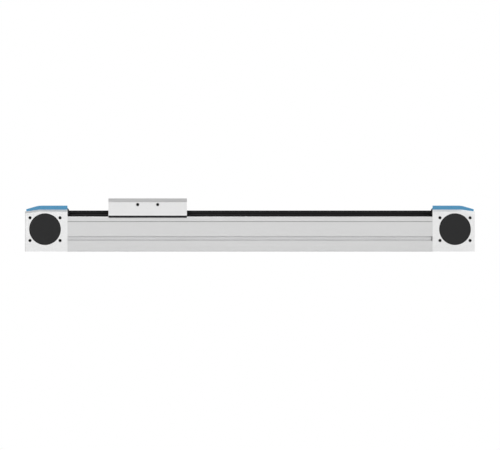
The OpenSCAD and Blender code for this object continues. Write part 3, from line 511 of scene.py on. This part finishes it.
def shade_lip(name, side):
    """An angle of black rubber under the slide's edge, put there to stand in for the slide's
    shade on the profile; side is -1 in front and 1 at the rear.
    """
    low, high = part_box("slide_plate")
    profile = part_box("profile")[1]
    outer = side * (high.y - LIP_INSET)
    inner = outer - side * LIP_T
    flange = side * (profile.y - LIP_FLANGE)
    under = low.z - LIP_T
    drop = profile.z - LIP_DROP
    angle = [
        (flange, low.z), (flange, under), (inner, under),
        (inner, drop), (outer, drop), (outer, low.z),
    ]
    strip = [(inner, low.z), (inner, drop), (outer, drop), (outer, low.z)]
    # the flange stops at the wipers' arms, and the lip goes on to the slide's ends
    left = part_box("wiper_left")[1].x + LIP_GAP
    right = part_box("wiper_right")[0].x - LIP_GAP
    build = bmesh.new()
    prism(build, strip, low.x + LIP_GAP, left)
    prism(build, angle, left, right)
    prism(build, strip, right, high.x - LIP_GAP)
    add_piece(name, build, "slide", "buffer_rubber")


shade_lip("side_lip_front", -1)
shade_lip("side_lip_rear", 1)


# ---- Stage, light and camera ----

FLOOR_GLOW = 0.3
# the world's strength falls with the height of the direction
LEVEL_HEIGHTS = (0.4, 0.9)
LEVELS = (1.02, 0.4)
# and rises with its height times its X, from the upper left to the upper right
TILT_SPAN = (-0.16, 0.16)
TILT_LEVELS = (0.4, 1.35)
LAMPS = {
    # place, target, size, power
    "key": ((-0.5, -1.2, 1.3), (-0.1, 0, 0.02), 1.0, 9.5),
    "top": ((0.5, 0.0, 0.75), (0.25, 0, 0), 0.5, 0.8),
    "back": ((-0.6, 1.6, 1.2), (0, 0, 0.02), 1.2, 7),
}
VIEW_WIDTH = 0.6
EYE_DISTANCE = 1.5
EYE_HEIGHT = 0.0319


def white_for_eye(tree, shader, strength):
    """Adds plain emission of the given strength for camera, glossy and transmitted rays."""
    path = tree.nodes.new("ShaderNodeLightPath")
    seen = path.outputs["Is Camera Ray"]
    for ray in ("Is Glossy Ray", "Is Transmission Ray"):
        seen = math_node(tree, "MAXIMUM", seen, path.outputs[ray])
    glow = tree.nodes.new("ShaderNodeEmission")
    put(tree, math_node(tree, "MULTIPLY", seen, strength), glow.inputs["Strength"])
    both = tree.nodes.new("ShaderNodeAddShader")
    put(tree, shader.outputs[0], both.inputs[0])
    put(tree, glow.outputs[0], both.inputs[1])
    return both


def make_floor():
    mesh = bpy.data.meshes.new("floor")
    build = bmesh.new()
    bmesh.ops.create_circle(build, cap_ends=True, radius=3.0, segments=96)
    build.to_mesh(mesh)
    build.free()
    floor = bpy.data.objects.new("floor", mesh)
    bpy.context.scene.collection.objects.link(floor)
    floor.location.z = -0.02 * MM
    material = bpy.data.materials.new("pale_floor")
    material.use_nodes = True
    tree = material.node_tree
    bsdf = tree.nodes["Principled BSDF"]
    bsdf.inputs["Base Color"].default_value = (0.84, 0.84, 0.84, 1)
    bsdf.inputs["Roughness"].default_value = 0.9
    bsdf.inputs["Specular IOR Level"].default_value = 0.1
    both = white_for_eye(tree, bsdf, FLOOR_GLOW)
    tree.links.new(both.outputs[0], tree.nodes["Material Output"].inputs["Surface"])
    mesh.materials.append(material)


def make_world():
    """Bright up to mid height, dimmer overhead and on the left, and plain white to the camera."""
    world = bpy.data.worlds.new("studio")
    bpy.context.scene.world = world
    world.use_nodes = True
    tree = world.node_tree
    room = tree.nodes["Background"]
    room.inputs["Color"].default_value = (1, 1, 1, 1)
    place = tree.nodes.new("ShaderNodeTexCoord")
    parts = tree.nodes.new("ShaderNodeSeparateXYZ")
    put(tree, place.outputs["Generated"], parts.inputs[0])
    level = map_range(tree, parts.outputs["Z"], LEVEL_HEIGHTS, LEVELS)
    tilt = math_node(tree, "MULTIPLY", parts.outputs["X"], parts.outputs["Z"])
    side = map_range(tree, tilt, TILT_SPAN, TILT_LEVELS)
    put(tree, math_node(tree, "MULTIPLY", level, side), room.inputs["Strength"])
    white = tree.nodes.new("ShaderNodeBackground")
    white.inputs["Color"].default_value = (1, 1, 1, 1)
    path = tree.nodes.new("ShaderNodeLightPath")
    mix = tree.nodes.new("ShaderNodeMixShader")
    put(tree, path.outputs["Is Camera Ray"], mix.inputs[0])
    put(tree, room.outputs[0], mix.inputs[1])
    put(tree, white.outputs[0], mix.inputs[2])
    put(tree, mix.outputs[0], tree.nodes["World Output"].inputs["Surface"])


def area_lamp(name, place, target, size, power):
    lamp = bpy.data.objects.new(name, bpy.data.lights.new(name, "AREA"))
    lamp.data.shape = "DISK"
    lamp.data.size = size
    lamp.data.energy = power
    lamp.location = place
    lamp.rotation_euler = (Vector(target) - Vector(place)).to_track_quat("-Z", "Y").to_euler()
    bpy.context.scene.collection.objects.link(lamp)


make_floor()
make_world()
for name, settings in LAMPS.items():
    area_lamp(name, *settings)

camera = bpy.data.objects.new("camera", bpy.data.cameras.new("camera"))
bpy.context.scene.collection.objects.link(camera)
camera.data.type = "ORTHO"
camera.data.ortho_scale = VIEW_WIDTH
camera.data.clip_end = 10
camera.location = (0, -EYE_DISTANCE, EYE_HEIGHT)
camera.rotation_euler = (math.radians(90), 0, 0)
bpy.context.scene.camera = camera
bpy.context.scene.view_settings.view_transform = "Standard"
